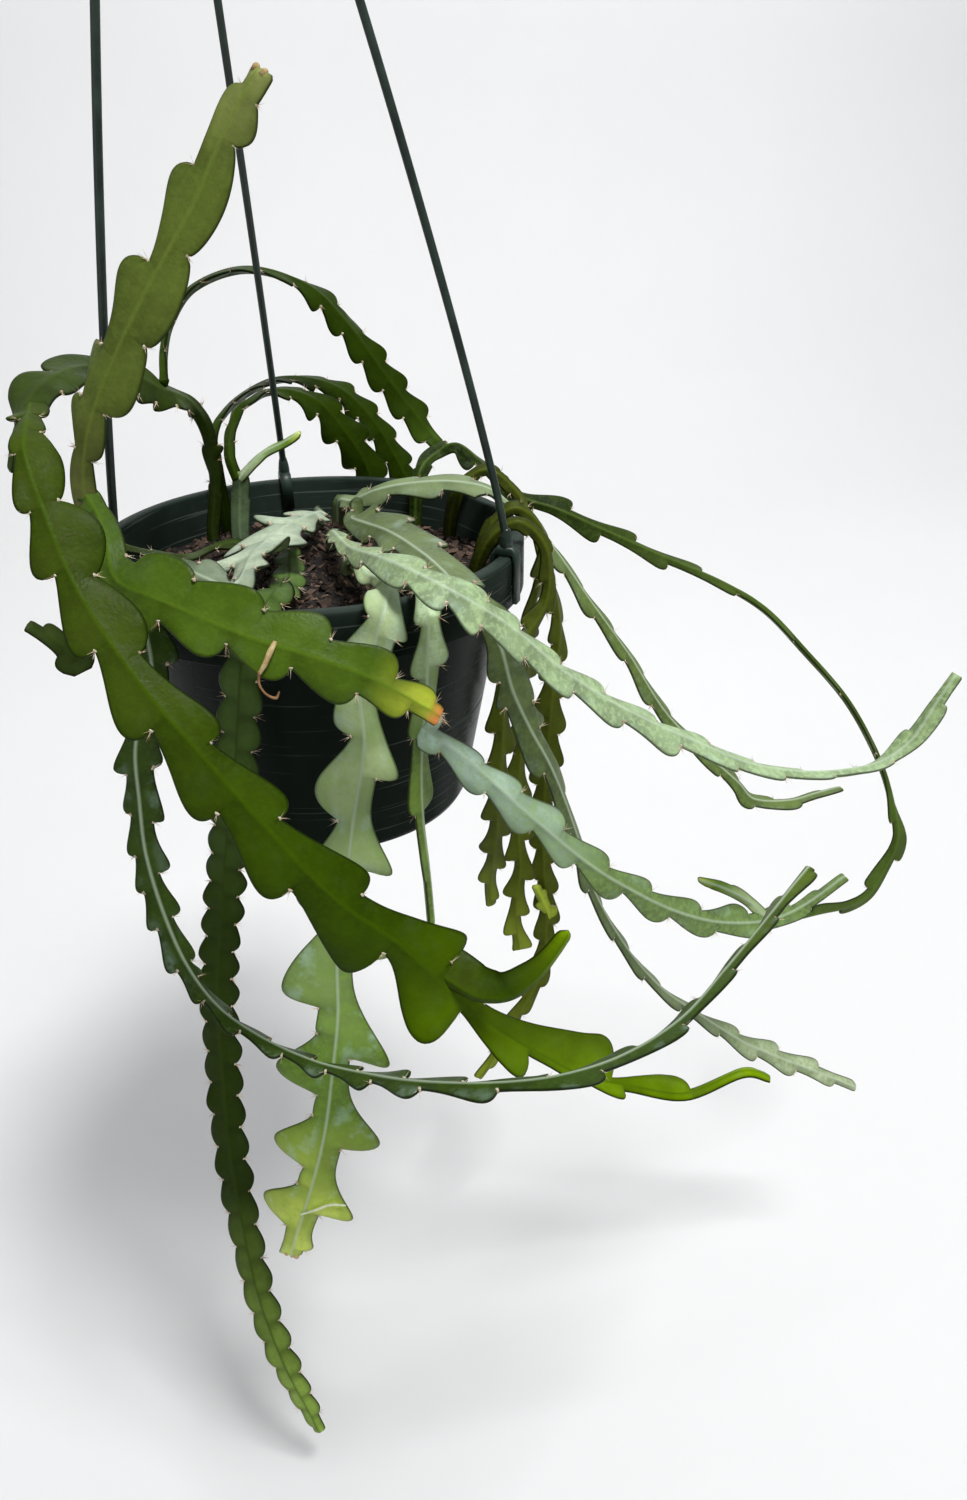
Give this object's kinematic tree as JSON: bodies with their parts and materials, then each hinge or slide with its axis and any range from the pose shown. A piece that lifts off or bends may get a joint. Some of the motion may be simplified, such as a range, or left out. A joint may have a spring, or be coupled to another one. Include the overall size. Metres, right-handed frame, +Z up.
{
  "type": "potted fishbone cactus",
  "caption": "Fishbone cactus with flat zigzag-lobed stems arching and trailing from a round plastic pot, hung by a hook and strands.",
  "frame": {"origin": "inner top of the hanger's hook, where the part hangs from a rail", "axes": "+Z up, -Y towards the viewer of the picture's front, +X to that viewer's right"},
  "size_m": [0.4803, 0.4105, 0.9257],
  "materials": {
    "pot_plastic": "glossy, very dark green",
    "soil": "matte, dark bark and peat",
    "hanger_plastic": "satin, dark green",
    "stem_green": "waxy, mid green",
    "stem_yellow_green": "waxy, yellow green",
    "stem_olive": "waxy, olive",
    "stem_dark": "waxy, dark green",
    "stem_grey_green": "waxy with a dusty bloom"
  },
  "bodies": {
    "root": {"pot": "pot_plastic", "soil": "soil", "hanger_hook": "hanger_plastic", "strand_left": "hanger_plastic", "strand_back": "hanger_plastic", "strand_right": "hanger_plastic", "stem_arch_left": "stem_green", "stem_upright": "stem_yellow_green", "stem_back_arch": "stem_green", "stem_back_stub": "stem_olive", "stem_left_short": "stem_olive", "stem_left_long": "stem_grey_green", "stem_front_fine": "stem_dark", "stem_front_broad": "stem_yellow_green", "stem_front_thin": "stem_grey_green", "stem_right_broad": "stem_grey_green", "stem_right_long": "stem_grey_green", "stem_right_over": "stem_grey_green", "stem_right_far": "stem_green", "stem_bunch_a": "stem_dark", "stem_bunch_b": "stem_dark", "stem_bunch_c": "stem_dark"}
  },
  "joints": []
}
